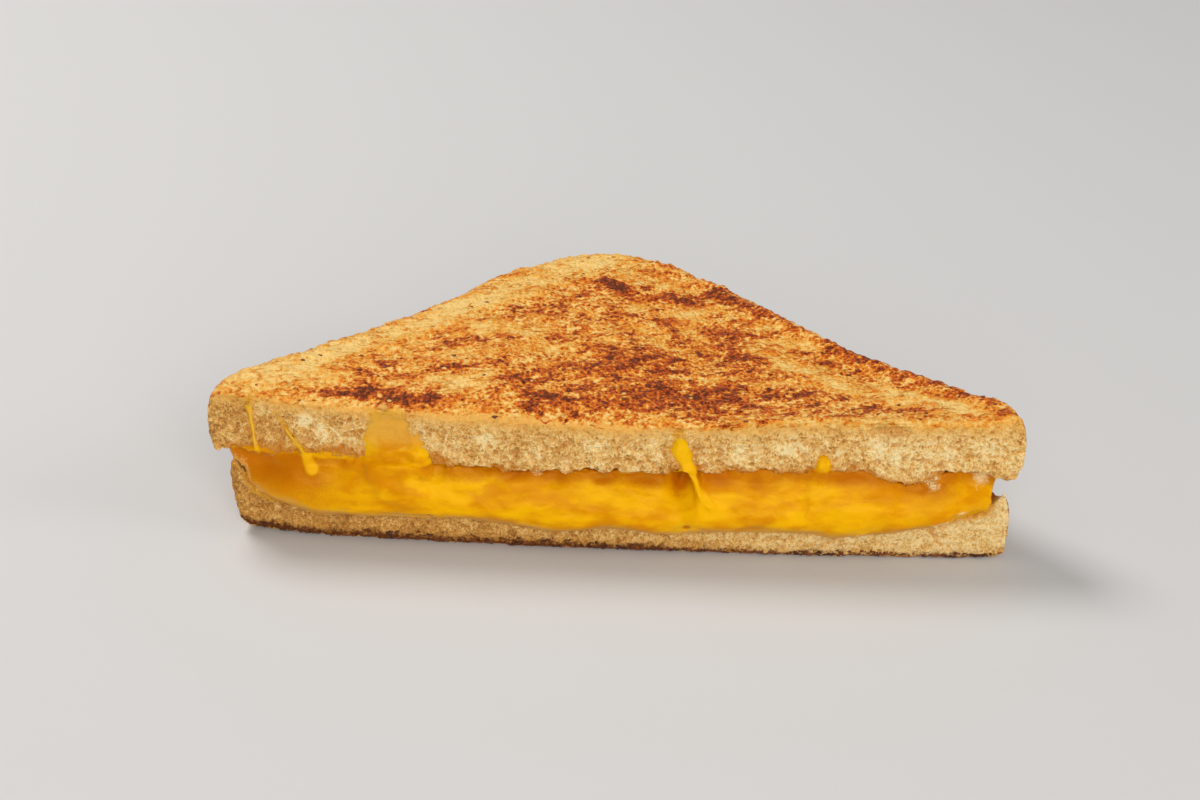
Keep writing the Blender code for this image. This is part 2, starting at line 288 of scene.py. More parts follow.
front_top = (grilled > 0.8) & (behind > EDGE_BAND[0]) & (behind < EDGE_BAND[1])
below = along_cut(points, front_top, 2, np.max) - points[:, 2]
round_edge(points, behind, below, EDGE_ROUND * (1.0 + layered(points * (1.0, 0.0, 0.0), EDGE_UNEVEN)))
place_points(toast, points)
directions = directions_of(toast)
grilled = ease(directions[:, 2], *ROUNDED_SKIN_TURN)
crumb = cut_share(points, directions) * (1.0 - grilled)

# Open pores of the crumb, as x, height, half width and half height in millimetres. The rest are
# scattered, many fine ones and few large. Each is sunk into the cut and darkened as painted shade.
TOP_PORES = ((-19.0, 19.4, 0.9, 1.5), (-22.9, 16.9, 0.8, 0.7), (-27.1, 19.5, 0.9, 0.6),
             (-9.4, 19.2, 1.4, 0.6), (0.3, 17.9, 0.8, 0.6), (4.5, 18.8, 0.7, 0.6),
             (7.3, 18.8, 0.8, 0.6), (16.8, 18.7, 0.8, 0.7), (19.8, 21.8, 0.7, 0.9),
             (35.6, 21.4, 0.9, 0.8), (-58.6, 20.4, 1.0, 0.7), (-63.0, 20.0, 0.8, 0.6),
             (50.1, 25.2, 0.9, 0.7), (52.8, 26.2, 0.8, 0.6), (51.4, 26.9, 4.2, 1.5),
             (58.4, 20.7, 2.0, 0.7), (-12.5, 23.8, 0.5, 0.4), (28.0, 22.6, 0.7, 0.5))
FINE_PORES = 3000
PORE_SIZES = (0.18 * MM, 0.75 * MM)
PORE_SHAPES = (1.0, 1.7)
PORE_TURNS = (-0.5, 0.5)
PORE_DEPTHS = (0.5, 1.1)
NAMED_DEPTH = 0.9
# Pores of this size and larger get the full painted shade.
FULL_SHADE_PORE = 0.45 * MM
PORE_SINK = 1.3


def open_pores(piece, mask, named, count, seed, sizes=PORE_SIZES):
    """How much painted shade darkens each point inside a pore of the cut face, and how far the pore reaches
    in.
    """
    chance = np.random.default_rng(seed)
    points = points_of(piece)
    faced = np.flatnonzero(mask > 0.5)
    tree = tree_of(points[faced] * (1.0, 0.0, 1.0))
    holes = [(x * MM, z * MM, wide * MM, high * MM, 0.0, NAMED_DEPTH) for x, z, wide, high in named]
    for index in chance.choice(faced, count):
        size = sizes[0] + (sizes[1] - sizes[0]) * chance.random() ** 6
        shape = chance.uniform(*PORE_SHAPES)
        holes.append((points[index, 0], points[index, 2], size * shape, size / shape,
                      chance.uniform(*PORE_TURNS), chance.uniform(*PORE_DEPTHS)))
    pore = np.zeros(len(points))
    sink = np.zeros(len(points))
    for x, z, wide, high, turn, deep in holes:
        c, s = math.cos(turn), math.sin(turn)
        small = min(wide, high)
        for place, row, away in tree.find_range((x, 0.0, z), max(wide, high)):
            dx, dz = place[0] - x, place[2] - z
            reach = ((dx * c + dz * s) / wide) ** 2 + ((dz * c - dx * s) / high) ** 2
            if reach < 1.0:
                share = (1.0 - reach) ** 0.7
                index = faced[row]
                pore[index] = max(pore[index], share * min(1.0, small / FULL_SHADE_PORE))
                sink[index] = max(sink[index], share * deep * small * PORE_SINK)
    return pore, sink


CELLS_PER_POINT = 0.20
WALL = 0.30 * MM
CELL_DEPTH = 0.36 * MM
CELL_SHIFT = 0.25 * MM
CELL_GAPS = 0.38
CELL_PATCHES = 2.6 * MM
CELL_CHANCE = 0.35
CELL_WARP = 0.22 * MM
CELL_WARP_SIZE = 0.8 * MM


def crumb_cells(points, mask, seed):
    """Depth of each point in the foam of small bubbles that the crumb is made of, 0 on their walls."""
    chance = np.random.default_rng(seed)
    faced = np.flatnonzero(mask > 0.02)
    middles = points[chance.choice(faced, int(len(faced) * CELLS_PER_POINT))]
    middles = middles + chance.normal(0.0, CELL_SHIFT, (1, 3))
    filled = hills(middles, CELL_PATCHES, seed + 50) + chance.normal(0.0, CELL_CHANCE, len(middles))
    tree = tree_of(middles[filled < CELL_GAPS])
    warp = [hills(points[faced], CELL_WARP_SIZE, seed + turn) for turn in range(3)]
    warp = np.column_stack(warp) * CELL_WARP
    depth = np.zeros(len(points))
    for index, place in zip(faced, points[faced] + warp):
        near, far = (found[2] for found in tree.find_n(place, 2))
        depth[index] = far - near
    return ease(depth, 0.02 * MM, WALL) * (depth > 0.0)


# Fluffy white places of the crumb, as x, height, half width, half height and strength.
WHITE_PLACES = ((49.4, 23.6, 1.5, 2.6, 1.0), (52.8, 21.2, 1.2, 1.8, 1.0), (-58.7, 25.0, 1.9, 1.7, 1.0),
                (-55.6, 22.6, 1.4, 1.6, 0.9), (-67.0, 26.5, 2.0, 1.2, 0.7), (-25.0, 22.4, 1.6, 1.6, 0.7),
                (-3.5, 22.0, 1.8, 1.4, 0.7), (8.6, 21.0, 1.0, 1.2, 0.6), (23.0, 21.5, 1.4, 1.8, 0.7),
                (32.0, 22.5, 2.0, 1.0, 0.6), (62.0, 22.0, 3.0, 2.0, 0.6), (69.0, 24.0, 2.4, 1.6, 0.6))


def places_share(points, places):
    """How strongly each point of the cut lies in any of the named places."""
    share = np.zeros(len(points))
    for x, z, wide, high, strength in places:
        out = ((points[:, 0] / MM - x) / wide) ** 2 + ((points[:, 2] / MM - z) / high) ** 2
        share = np.maximum(share, strength * np.exp(-out))
    return share


white = places_share(points, WHITE_PLACES)
cells = crumb_cells(points, crumb, 60)
pore, sink = open_pores(toast, crumb, TOP_PORES, FINE_PORES, 5)

# Browning from the pan, as x, y, half length, half width, turn and strength. Negative ones are the
# pale islands that the pan didn't touch.
BROWNED = ((-2.0, -16.0, 36.0, 19.0, 6, 0.24), (2.0, 18.0, 18.0, 6.0, 0, 0.16),
           (26.0, -20.0, 24.0, 12.0, -24, 0.14),
           (4.0, -32.0, 30.0, 3.0, 0, 0.22), (-6.0, 21.0, 9.0, 3.0, 12, 0.18),
           (-27.0, 3.0, 8.0, 1.6, 14, 0.18), (-20.0, -10.0, 9.0, 1.6, 12, 0.16),
           (-33.0, -8.0, 7.0, 1.5, 14, 0.20),
           (-52.0, -30.6, 7.0, 2.4, 4, 0.40), (-40.5, -31.0, 9.0, 2.6, 2, 0.38),
           (-46.0, -24.0, 7.0, 5.0, 24, 0.34), (-31.0, -19.0, 6.0, 2.4, 14, 0.46),
           (-18.0, -21.0, 6.0, 3.0, 10, 0.34), (-14.0, -30.0, 9.0, 4.0, 6, 0.28),
           (-2.0, -27.0, 14.0, 6.0, 0, 0.25), (14.0, -29.0, 12.0, 5.0, -4, 0.26),
           (20.0, -22.0, 10.0, 7.0, -20, 0.24), (6.0, -13.0, 14.0, 5.0, 8, 0.18),
           (45.0, -1.0, 34.0, 2.3, -44, 0.50), (47.0, -11.5, 24.0, 2.8, -40, 0.15),
           (-4.0, 17.0, 12.0, 3.4, 10, 0.36), (8.0, 22.0, 11.0, 3.4, -4, 0.34),
           (-14.0, 10.0, 9.0, 3.0, 20, 0.28), (2.0, 7.0, 10.0, 3.0, 8, 0.22),
           (20.0, 3.0, 6.0, 4.0, -40, 0.30), (25.0, -6.0, 6.0, 3.0, -30, 0.30),
           (20.0, 24.0, 12.0, 2.8, -44, 0.30), (33.0, -27.0, 6.0, 4.0, -10, 0.22),
           (46.0, -25.0, 7.0, 2.2, -14, 0.34), (56.0, -28.5, 3.0, 1.6, -14, 0.45),
           (-30.0, -25.0, 5.0, 3.2, 4, -0.42), (-18.0, -1.7, 3.4, 2.2, 15, -0.34),
           (-27.0, -1.0, 3.2, 2.0, 15, -0.34), (-34.0, 9.0, 4.0, 2.0, 30, -0.30),
           (-25.0, -13.0, 11.0, 1.6, 24, -0.34), (-62.0, -26.0, 9.0, 5.0, 22, -0.22),
           (-56.0, -15.0, 15.0, 4.0, 42, -0.36), (-34.0, 4.0, 16.0, 3.6, 42, -0.36),
           (-17.0, 21.0, 11.0, 3.6, 42, -0.34), (-6.0, 33.0, 9.0, 4.0, 0, -0.38),
           (33.0, -8.0, 17.0, 1.8, -40, -0.34), (58.0, -22.0, 16.0, 1.5, -38, -0.50),
           (60.0, -29.5, 12.0, 3.5, -16, 0.03), (63.0, -18.5, 12.0, 1.8, -38, 0.10),
           (-10.0, -6.0, 10.0, 2.0, 16, -0.20))
BROWN_BASE = 0.27
BROWN_DRIFT = ((8.0, 0.30, 4, (1.6, 1.0, 1.0)), (3.2, 0.38, 5, (1.8, 1.0, 1.0)))
# The crust stands up in a rim along the right of the top, with a trough beside it, given the same
# way with the height in millimetres last.
FOLDS = ((45.0, -0.5, 34.0, 2.2, -44, 0.9), (44.5, -9.5, 26.0, 3.2, -40, -0.5),
         (-36.0, -1.0, 34.0, 2.0, 44, 0.35))
SKIN_HILLS = ((4.6, 0.26, 1, (1.6, 1.0, 1.0)), (1.3, 0.30, 3), (0.85, 0.18, 6))
SKIN_RIDGES = ((2.6, 2.4, 2, (1.7, 1.0, 1.0)),)
RIDGE_HEIGHT = 0.16
SIDE_RELIEF = 0.4
CRUMB_SWELL = 0.10 * MM


def toast_relief(points):
    """Height of the grilled skin over its smooth form: grains, small ridges and sunk pores."""
    ridges = 1.0 - np.abs(layered(points, SKIN_RIDGES))
    return (layered(points, SKIN_HILLS) + RIDGE_HEIGHT * ridges) * MM


def crumb_relief(points, cells, seed):
    """Height of the crumb over its smooth form: soft lumps, with the bubbles sunk into them."""
    lumps = layered(points, ((1.9, 0.22, seed), (0.85, 0.14, seed + 1)))
    return lumps * MM + CRUMB_SWELL - cells * CELL_DEPTH


def browning(points, relief):
    """How brown the pan made each point: its patches, uneven, and darker on the high grains."""
    drift = layered(points, BROWN_DRIFT)
    return BROWN_BASE + blobs(points, BROWNED) * (0.80 + 1.2 * drift) + 0.40 * drift + relief / MM * 0.30


# Along the cut the skin ends in a narrow uneven border, paler than the middle of the top.
FRONT_BORDER = 2.6 * MM
BORDER_FADE = 2.2 * MM
BORDER_UNEVEN = ((3.6, 0.9, 13),)
BORDER_HILLS = ((1.1, 0.20, 9), (2.6, 0.22, 10))
BORDER_BROWN = 0.30
BORDER_SHIFT = 0.14
BARE_FROM = (0.25 * MM, 1.7 * MM)
relief = toast_relief(points)
side = (1.0 - grilled) * (1.0 - crumb)
lift = grilled * relief + side * SIDE_RELIEF * relief + crumb * crumb_relief(points, cells, 7)
border = 4.0 * np.maximum(crumb, grilled) * np.minimum(crumb + 0.15, grilled + 0.15) * (behind < 2.5 * MM)
lift += border * layered(points, BORDER_HILLS) * MM
moved = points + directions * lift[:, None]
moved[:, 1] += sink * crumb
moved[:, 2] += grilled * blobs(points, FOLDS) * MM
place_points(toast, moved)

# How near each point of the cut lies to the grilled skin, for the browned edge of the crumb.
EDGE_REACH = 3.2 * MM


def edge_share(piece, skin_mask, face_mask, reach):
    points = points_of(piece)
    skin = np.flatnonzero((skin_mask > 0.8) & (points[:, 1] < cad_low[1] + CUT_REACH))
    tree = tree_of(points[skin])
    share = np.zeros(len(points))
    for index in np.flatnonzero(face_mask > 0.02):
        away = tree.find(points[index])[2]
        share[index] = max(0.0, 1.0 - away / reach)
    return share


edge = np.maximum(edge_share(toast, grilled, crumb, EDGE_REACH), grilled)
below = along_cut(moved, front_top, 2, np.max) - moved[:, 2]
bare = cut_share(points, directions_of(toast) * (1.0, 1.6, 1.0)) * ease(below, *BARE_FROM)
border_width = FRONT_BORDER * (1.0 + layered(points * (1.0, 0.0, 0.0), BORDER_UNEVEN))
border_width *= 1.0 - 0.55 * np.exp(-((points[:, 0] / MM - 4.0) / 30.0) ** 4)
golden = 0.85 * ease(border_width - behind, 0.0, BORDER_FADE) * grilled
border_brown = BORDER_BROWN - BORDER_SHIFT * ease(points[:, 0], 0.0, 40.0 * MM)
border_brown += BORDER_SHIFT * hills(points, 1.6 * MM, 14)
brown = browning(points, relief)
brown += golden * (border_brown - brown)
brown += crumb * (border_brown - brown)
# The upper crumb is darkened towards its left end, as painted shade.
mark(toast, browning=np.clip(brown, 0.0, 1.2), crumb=bare, pore=pore, cell=cells, edge=edge, side=side,
     white=white - 0.45 * ease(-52.0 * MM - points[:, 0], 0.0, 16.0 * MM))


def paint(red, green, blue):
    """A colour given as it looks on a screen, 0 to 255, as the linear colour that a finish takes."""
    seen = np.array((red, green, blue)) / 255.0
    linear = np.where(seen <= 0.04045, seen / 12.92, ((seen + 0.055) / 1.055) ** 2.4)
    return (*linear.tolist(), 1.0)


class Wire:
    """An output socket that takes plain arithmetic, so that a mask is written as a sum."""

    def __init__(self, finish, socket):
        self.finish = finish
        self.socket = socket

    def maths(self, operation, first, second):
        return self.finish.node("ShaderNodeMath", {"operation": operation}, {0: first, 1: second})

    def __add__(self, other):
        return self.maths("ADD", self, other)

    def __radd__(self, other):
        return self.maths("ADD", other, self)

    def __sub__(self, other):
        return self.maths("SUBTRACT", self, other)

    def __rsub__(self, other):
        return self.maths("SUBTRACT", other, self)

    def __mul__(self, other):
        return self.maths("MULTIPLY", self, other)

    def __rmul__(self, other):
        return self.maths("MULTIPLY", other, self)


class Finish:
    """A material whose nodes are all made by one method."""

    def __init__(self, name):
        self.material = bpy.data.materials.new(name)
        self.material.use_nodes = True
        self.tree = self.material.node_tree
        self.tree.nodes.clear()

    def node(self, kind, settings, sockets, output=0):
        made = self.tree.nodes.new(kind)
        for name, value in settings.items():
            if name == "stops":
                for place, colour in value[2:]:
                    made.color_ramp.elements.new(place)
                for stop, (place, colour) in zip(made.color_ramp.elements, value):
                    stop.position, stop.color = place, colour
            else:
                setattr(made, name, value)
        for name, value in sockets.items():
            if isinstance(value, Wire):
                self.tree.links.new(value.socket, made.inputs[name])
            else:
                made.inputs[name].default_value = value
        return Wire(self, made.outputs[output]) if made.outputs else None

    def attribute(self, name):
        return self.node("ShaderNodeAttribute", {"attribute_name": name}, {}, "Fac")

    def noise(self, place, size, detail, roughness, distortion=0.0):
        """Noise of about the given size, from -0.5 to 0.5."""
        made = self.node("ShaderNodeTexNoise", {}, {"Vector": place, "Scale": 1.0 / size, "Detail": detail,
                                                    "Roughness": roughness, "Distortion": distortion})
        return made - 0.5

    def stretched(self, place, stretch, turn=0.0):
        """Places on which a pattern runs longer in one direction."""
        return self.node("ShaderNodeMapping", {"vector_type": "TEXTURE"}, {
            "Vector": place, "Rotation": (0.0, 0.0, turn), "Scale": (stretch, 1.0, 1.0)})

    def between(self, amount, low, high):
        return self.node("ShaderNodeMapRange", {"interpolation_type": "SMOOTHSTEP"},
                         {"Value": amount, "From Min": low, "From Max": high})

    def ramp(self, amount, stops):
        return self.node("ShaderNodeValToRGB", {"stops": stops}, {"Fac": amount})

    def mix(self, amount, first, second):
        return self.node("ShaderNodeMix", {"data_type": "RGBA"}, {"Factor": amount, 6: first, 7: second}, 2)

    def laid_over(self, colour, layers):
        """Tones laid over a colour in turn, each where its mask runs from low to high, at its strength."""
        for mask, low, high, strength, tone in layers:
            colour = self.mix(self.between(mask, low, high) * strength, colour, tone)
        return colour

    def bump(self, height, distance, strength):
        sockets = {"Strength": strength, "Distance": distance, "Height": height}
        return self.node("ShaderNodeBump", {}, sockets)

    def finish_with(self, surface):
        self.node("ShaderNodeOutputMaterial", {}, {"Surface": surface})
        return self.material


TOAST_TONES = ((0.00, paint(252, 216, 138)), (0.20, paint(242, 182, 80)), (0.38, paint(231, 137, 26)),
               (0.55, paint(208, 100, 18)), (0.72, paint(180, 69, 12)), (0.88, paint(142, 46, 8)),
               (1.00, paint(100, 32, 6)))
UPPER_CRUMB = ((0.12, paint(178, 122, 60)), (0.40, paint(216, 160, 84)), (0.62, paint(242, 200, 124)),
               (0.86, paint(255, 236, 184)))
# Painted shade inside the pores of the crumb.
PORE_SHADE = paint(186, 124, 58)
SOAKED_BROWN = paint(208, 130, 30)
SMEARED = paint(232, 176, 62)
UPPER_EDGE = (paint(242, 192, 104), paint(238, 174, 76))
CRUST_GOLD = paint(208, 128, 48)
CRUST_BROWN = paint(150, 74, 22)
STREAK_TURN = math.radians(24.0)


def bread_finish(name, crumb_tones, edge_tones, edge_from, edge_full, soaked):
    """Toasted skin, crust and open crumb in one finish, each where the marks on the mesh say."""
    finish = Finish(name)
    place = finish.node("ShaderNodeTexCoord", {}, {}, "Object")
    along = finish.stretched(place, 1.5, STREAK_TURN)
    crumb = finish.attribute("crumb")
    pore = finish.attribute("pore")
    edge = finish.attribute("edge")
    pan = finish.attribute("browning")
    grain = finish.noise(place, 0.80 * MM, 3.0, 0.62)
    speckle = finish.noise(place, 0.32 * MM, 2.0, 0.6)
    drift = finish.noise(place, 5.0 * MM, 3.0, 0.6)
    streak = finish.noise(along, 2.0 * MM, 4.0, 0.62)
    flakes = finish.between(finish.noise(along, 3.2 * MM, 5.0, 0.68), -0.02, 0.08)
    # Thin dark lines along the streaks: partly browned ridges, partly painted shade in the creases between
    # them.
    vein = finish.noise(finish.stretched(place, 3.0, STREAK_TURN * 0.6), 2.6 * MM, 3.0, 0.55)
    crease_brown_and_shade = finish.between(vein, -0.06, 0.0) - finish.between(vein, 0.0, 0.015)
    crease_brown_and_shade = crease_brown_and_shade * finish.between(drift, -0.08, 0.08)
    kernel = 0.45 - finish.node("ShaderNodeTexVoronoi", {}, {"Vector": place, "Scale": 1.0 / (0.85 * MM)})
    uneven = streak + grain * 1.3 + speckle * 0.6 + (flakes - 0.45) * 0.30 + kernel * 0.70
    browned = pan + uneven * (0.42 + finish.between(pan, 0.22, 0.50) * 0.75) + crease_brown_and_shade * 0.34
    crust = finish.mix(finish.between(drift + grain * 0.8, -0.15, 0.20), CRUST_GOLD, CRUST_BROWN)
    toasted = finish.mix(finish.attribute("side") * 0.75, finish.ramp(browned, TOAST_TONES), crust)
    # Down in the bubbles and pores the crumb is darker, as painted shade.
    wall = 0.66 + grain * 1.05 + speckle * 1.05 + drift * 0.6 - finish.attribute("cell") * 0.30
    open_crumb = finish.laid_over(finish.ramp(wall + finish.attribute("white") * 0.36, crumb_tones), (
        (pore + speckle * 0.4, 0.25, 1.20, 0.45, PORE_SHADE),
        (edge + grain * 1.2 + drift * 0.8, 0.10, 0.90, 0.65, edge_tones[0]),
        (edge + grain * 1.2 + drift * 0.6, edge_from, edge_from + 0.45, edge_full, edge_tones[1]),
        (finish.attribute("smeared") + grain * 0.7, 0.20, 1.00, 0.85, SMEARED),
        (finish.attribute("soak") + grain * 0.9 + pore * 0.35, 0.25, 0.95, 0.90, soaked)))
    colour = finish.mix(finish.between(crumb + grain, 0.30, 0.70), toasted, open_crumb)
    dry = finish.between(crumb, 0.2, 0.8)
    buttery = 1.0 - dry
    roughness = 0.37 + dry * 0.43 + grain * 0.3 - finish.between(speckle, 0.08, 0.22) * buttery * 0.2
    height = grain * 0.8 + speckle * 0.5 + streak * 0.3 + (kernel * 0.8 + crease_brown_and_shade * 0.5) * buttery
    surface = finish.node("ShaderNodeBsdfPrincipled", {}, {
        "Base Color": colour, "Roughness": roughness, "Normal": finish.bump(height, 0.55 * MM, 1.0),
        "Subsurface Weight": 0.12, "Subsurface Scale": 1.0 * MM, "Subsurface Radius": (1.0, 0.6, 0.3),
        "Specular IOR Level": 0.45, "Specular Tint": (1.0, 0.78, 0.42, 1.0)})
    return finish.finish_with(surface)


def dress(piece, material):
    piece.data.materials.append(material)
    select_only(piece)
    bpy.ops.object.shade_smooth()


UPPER_EDGE_FROM = 0.62
UPPER_EDGE_FULL = 0.65
dress(toast, bread_finish("toasted loaf, upper", UPPER_CRUMB, UPPER_EDGE, UPPER_EDGE_FROM, UPPER_EDGE_FULL,
                          SOAKED_BROWN))
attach(toast, "root")
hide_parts("top_slice")


# The lower slice, of the same loaf. Its browned face is turned down, so only its crumb, soaked with
# a little cheese fat, and the dark ragged edge of its fried underside show at the cut. That dark edge
# is partly painted shadow where the slice meets the floor.
LOWER_GRAIN = 0.50 * MM
UNDERSIDE_REACH = 3.0 * MM
LOWER_PORES = ((-55.0, 3.6, 0.8, 0.5), (13.9, 5.4, 0.9, 0.7), (30.0, 3.4, 0.8, 0.5))
LOWER_CRUMB = ((0.12, paint(168, 116, 54)), (0.40, paint(206, 150, 76)), (0.64, paint(234, 190, 112)),
               (0.90, paint(252, 228, 172)))
# The darkest tone is the fried underside together with painted shadow.
LOWER_EDGE_AND_SHADOW = (paint(196, 136, 66), paint(92, 40, 14))
SOAKED_YELLOW = paint(220, 158, 48)
LOWER_EDGE_FROM = 0.42
LOWER_EDGE_FULL = 0.95
LOWER_SOFTENING = 4
LOWER_FINE_PORES = 1500
LOWER_PORE_SIZES = (0.20 * MM, 0.65 * MM)
# The crust shows from above as a narrow rim, which fades in between these two sums of a point's y and
# its distance from the middle.
CRUST_RING = (40.5 * MM, 43.0 * MM)

base = skin_anew("bottom_slice", "toast_lower", LOWER_GRAIN, LOWER_SOFTENING)
middles, directions = face_facts(base)
hidden = (np.abs(directions[:, 2]) > LEVEL_FACING) & (middles[:, 1] > cad_low[1] + SEEN_BAND)
thin_faces(base, hidden & (middles[:, 2] > 2.0 * MM), HIDDEN_SHARE)
refine_cut(base)
points = points_of(base)
directions = directions_of(base)
grilled = ease(-directions[:, 2], *SKIN_TURN)
crumb = cut_share(points, directions) * (1.0 - grilled)
pore, sink = open_pores(base, crumb, LOWER_PORES, LOWER_FINE_PORES, 9, LOWER_PORE_SIZES)
relief = toast_relief(points)
crust_ring = ease(np.abs(points[:, 0]) + points[:, 1], *CRUST_RING)
side = (1.0 - grilled) * (1.0 - crumb) * np.maximum(directions[:, 2] < 0.5, crust_ring)
cells = crumb_cells(points, crumb, 80)
lift = side * SIDE_RELIEF * relief + crumb * crumb_relief(points, cells, 17)
moved = points + directions * lift[:, None]
moved[:, 1] += sink * crumb
place_points(base, moved)
edge = edge_share(base, grilled, crumb, UNDERSIDE_REACH)
# Left of the middle the dark edge, partly painted shadow, reaches further up the crumb.
edge *= 1.05 - 0.35 * ease(points[:, 0], 5.0 * MM, 30.0 * MM)
brown = browning(points, relief) * 1.1 * (grilled + side) + crumb * 0.5
# Painted light and shade over the lower crumb: darker towards the left, paler towards the right.
mark(base, browning=np.clip(brown, 0.0, 1.2), crumb=crumb, pore=pore, cell=cells, edge=edge, side=side,
     white=ease(points[:, 0], -50.0 * MM, 60.0 * MM) - 0.45)
dress(base, bread_finish("toasted loaf, lower", LOWER_CRUMB, LOWER_EDGE_AND_SHADOW, LOWER_EDGE_FROM, LOWER_EDGE_FULL,
                         SOAKED_YELLOW))
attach(base, "root")
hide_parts("bottom_slice")


# The cheese, two slices of it melted together between the bread. It bulges from the cut, hangs in
# low drips over the lower crumb and clings to the upper crumb where the knife drew it up. It is
# stuck to the bread that it touches, and its fat soaks into the crumb beside it.
CHEESE_GRAIN = 0.36 * MM
CHEESE_SOFTENING = 8
STICK_REACH = 1.3 * MM
# How far below the upper crumb the painted shade on the cheese reaches.
BROW_SHADE_REACH = 5.0 * MM
SOAK_REACH = 2.2 * MM
LIP_REACH = 2.2 * MM
# White crumb that the knife dragged over the cheese, as x, height, half width, half height and
# strength.
DRAGGED_CRUMB = ((58.8, 17.4, 2.4, 1.3, 1.0), (60.4, 15.8, 1.4, 1.2, 0.8), (69.6, 17.2, 1.8, 1.7, 1.0),
                 (61.2, 8.0, 0.8, 1.0, 0.9), (63.4, 9.0, 1.5, 0.5, 0.8), (66.0, 10.8, 1.4, 0.5, 0.8),
                 (47.1, 5.6, 1.2, 0.7, 0.8), (-14.8, 15.8, 1.3, 0.7, 0.7))
# The seam with the upper slice, as x and height, and how the two ends of the cheese are tucked in.
SEAM_LINE = ((-76.0, 17.6), (-50.0, 16.9), (-20.0, 16.3), (2.0, 16.5), (12.0, 17.5), (28.0, 18.2),
             (46.0, 18.5), (76.0, 17.8))
SEAM_SQUEEZE = 0.05
SEAM_BAND = 9.0 * MM
LEFT_TUCK_FROM = -60.0 * MM
RIGHT_TUCK_FROM = 60.0 * MM
TUCK_RUN = 13.0 * MM
TUCK = 3.0
TUCK_BAND = 8.0 * MM
NEAR_CUT = 14.0 * MM
# Places where the crumb is soaked further, as x, height, half width, half height and strength.
SOAKED_PLACES = ((-53.5, 18.4, 5.6, 1.7, 0.95), (-66.5, 17.2, 4.0, 1.3, 0.9), (-37.0, 18.0, 3.0, 1.2, 0.5),
                 (-18.5, 17.2, 4.0, 0.8, 0.4), (45.0, 19.0, 3.0, 1.2, 0.5))


def low_seam(points):
    """Height of the upper crumb's underside at the cut, where the body of the cheese ends."""
    return np.interp(points[:, 0] / MM, *np.array(SEAM_LINE).T) * MM


def nearest(points, chosen, tree):
    """Distance to the tree's nearest point, and that point, for each chosen one."""
    away = np.full(len(points), 1.0)
    spot = points.copy()
    for index in np.flatnonzero(chosen):
        spot[index], found, away[index] = tree.find(points[index])
    return away, spot


def crumb_points(piece):
    amounts = np.empty(len(piece.data.vertices), dtype=np.float32)
    piece.data.attributes["crumb"].data.foreach_get("value", amounts)
    return points_of(piece)[amounts > 0.3]


cheese = skin_anew("cheese", "cheese_melted", CHEESE_GRAIN, CHEESE_SOFTENING)
points = points_of(cheese)
ends = TUCK * ease(LEFT_TUCK_FROM - points[:, 0], 0.0, TUCK_RUN)
ends += TUCK * ease(points[:, 0] - RIGHT_TUCK_FROM, 0.0, TUCK_RUN)
points[:, 1] += ends * MM * ease(TUCK_BAND - points[:, 1] + cad_low[1], 0.0, 3.0 * MM)
seam = low_seam(points)
raised = (points[:, 2] > seam) & (points[:, 1] < cad_low[1] + SEAM_BAND)
points[raised, 2] = seam[raised] + SEAM_SQUEEZE * (points[raised, 2] - seam[raised])
place_points(cheese, points)

# The smears that the knife drew over the cut: a wide thin film left of the middle, a narrow one with
# a strand right of it, a blob and thin strings. Strokes give x, height, half width and thickness in
# millimetres at each point along them, and every smear melts into the body of the cheese.
SMEAR_STEP = 0.28 * MM
SMEAR_SPAN = ((-73.5, 74.0), (8.0, 27.4))
SUNK = 0.5 * MM
SMEAR_WALL = 1.2 * MM
MELTED_GRAIN = 0.34 * MM
MELTED_SOFTENING = 4
SMEAR_SOFTENING = 6
SMEARS = (((-43.2, 23.9, 4.0, 0.35), (-42.6, 22.0, 4.8, 0.45), (-41.8, 19.0, 5.6, 0.80),
           (-41.0, 16.0, 6.4, 0.9), (-40.0, 13.0, 5.0, 0.2)),
          ((11.9, 24.2, 1.1, 0.6), (12.1, 22.0, 1.9, 0.8), (13.4, 19.2, 1.5, 1.0), (14.9, 16.6, 0.9, 1.0),
           (16.2, 13.9, 0.75, 0.9), (18.2, 11.4, 0.9, 0.5)),
          ((39.3, 20.2, 1.4, 0.8), (39.2, 18.6, 1.5, 0.7), (39.0, 17.2, 1.3, 0.2)),
          ((-69.4, 27.2, 0.80, 0.50), (-69.1, 25.4, 0.45, 0.40), (-68.5, 20.6, 0.34, 0.34),
           (-67.8, 17.0, 0.6, 0.3)),
          ((-62.4, 22.4, 0.32, 0.34), (-60.8, 19.9, 0.46, 0.45), (-58.8, 17.2, 0.9, 0.5),
           (-57.4, 15.0, 1.5, 0.2)),
          ((-71.0, 16.6, 1.3, 0.2), (-66.0, 16.6, 1.3, 0.2), (-60.0, 16.4, 1.4, 0.2),
           (-50.0, 16.4, 1.6, 0.2)))
DRAWN_SMEARS = SMEARS[1:5]
SMEAR_HILLS = ((2.4, 0.10, 41), (0.9, 0.05, 42))
SMEAR_OUTSIDE = -0.45
SMEAR_BORDER = -0.30
SMEAR_CLEAR = 0.08 * MM
SMEAR_RAY = 85.0 * MM

# Where a breath of cheese only tints the crumb, given like the smears.
SMEARED_OVER = (((-43.4, 26.0, 4.2, 1.0), (-42.6, 22.5, 5.2, 1.0), (-41.0, 17.0, 6.6, 1.0)),
                ((11.6, 27.0, 0.8, 1.0), (12.1, 22.0, 2.2, 1.0), (13.4, 19.2, 1.7, 1.0)),
                ((39.3, 20.0, 2.0, 1.0), (39.2, 18.5, 2.0, 1.0)),
                ((-69.6, 29.5, 1.0, 1.0), (-69.2, 25.0, 0.7, 1.0), (-68.4, 18.0, 0.6, 1.0)),
                ((-64.4, 26.0, 0.4, 1.0), (-61.2, 20.6, 0.8, 1.0), (-58.8, 17.2, 1.3, 1.0)))
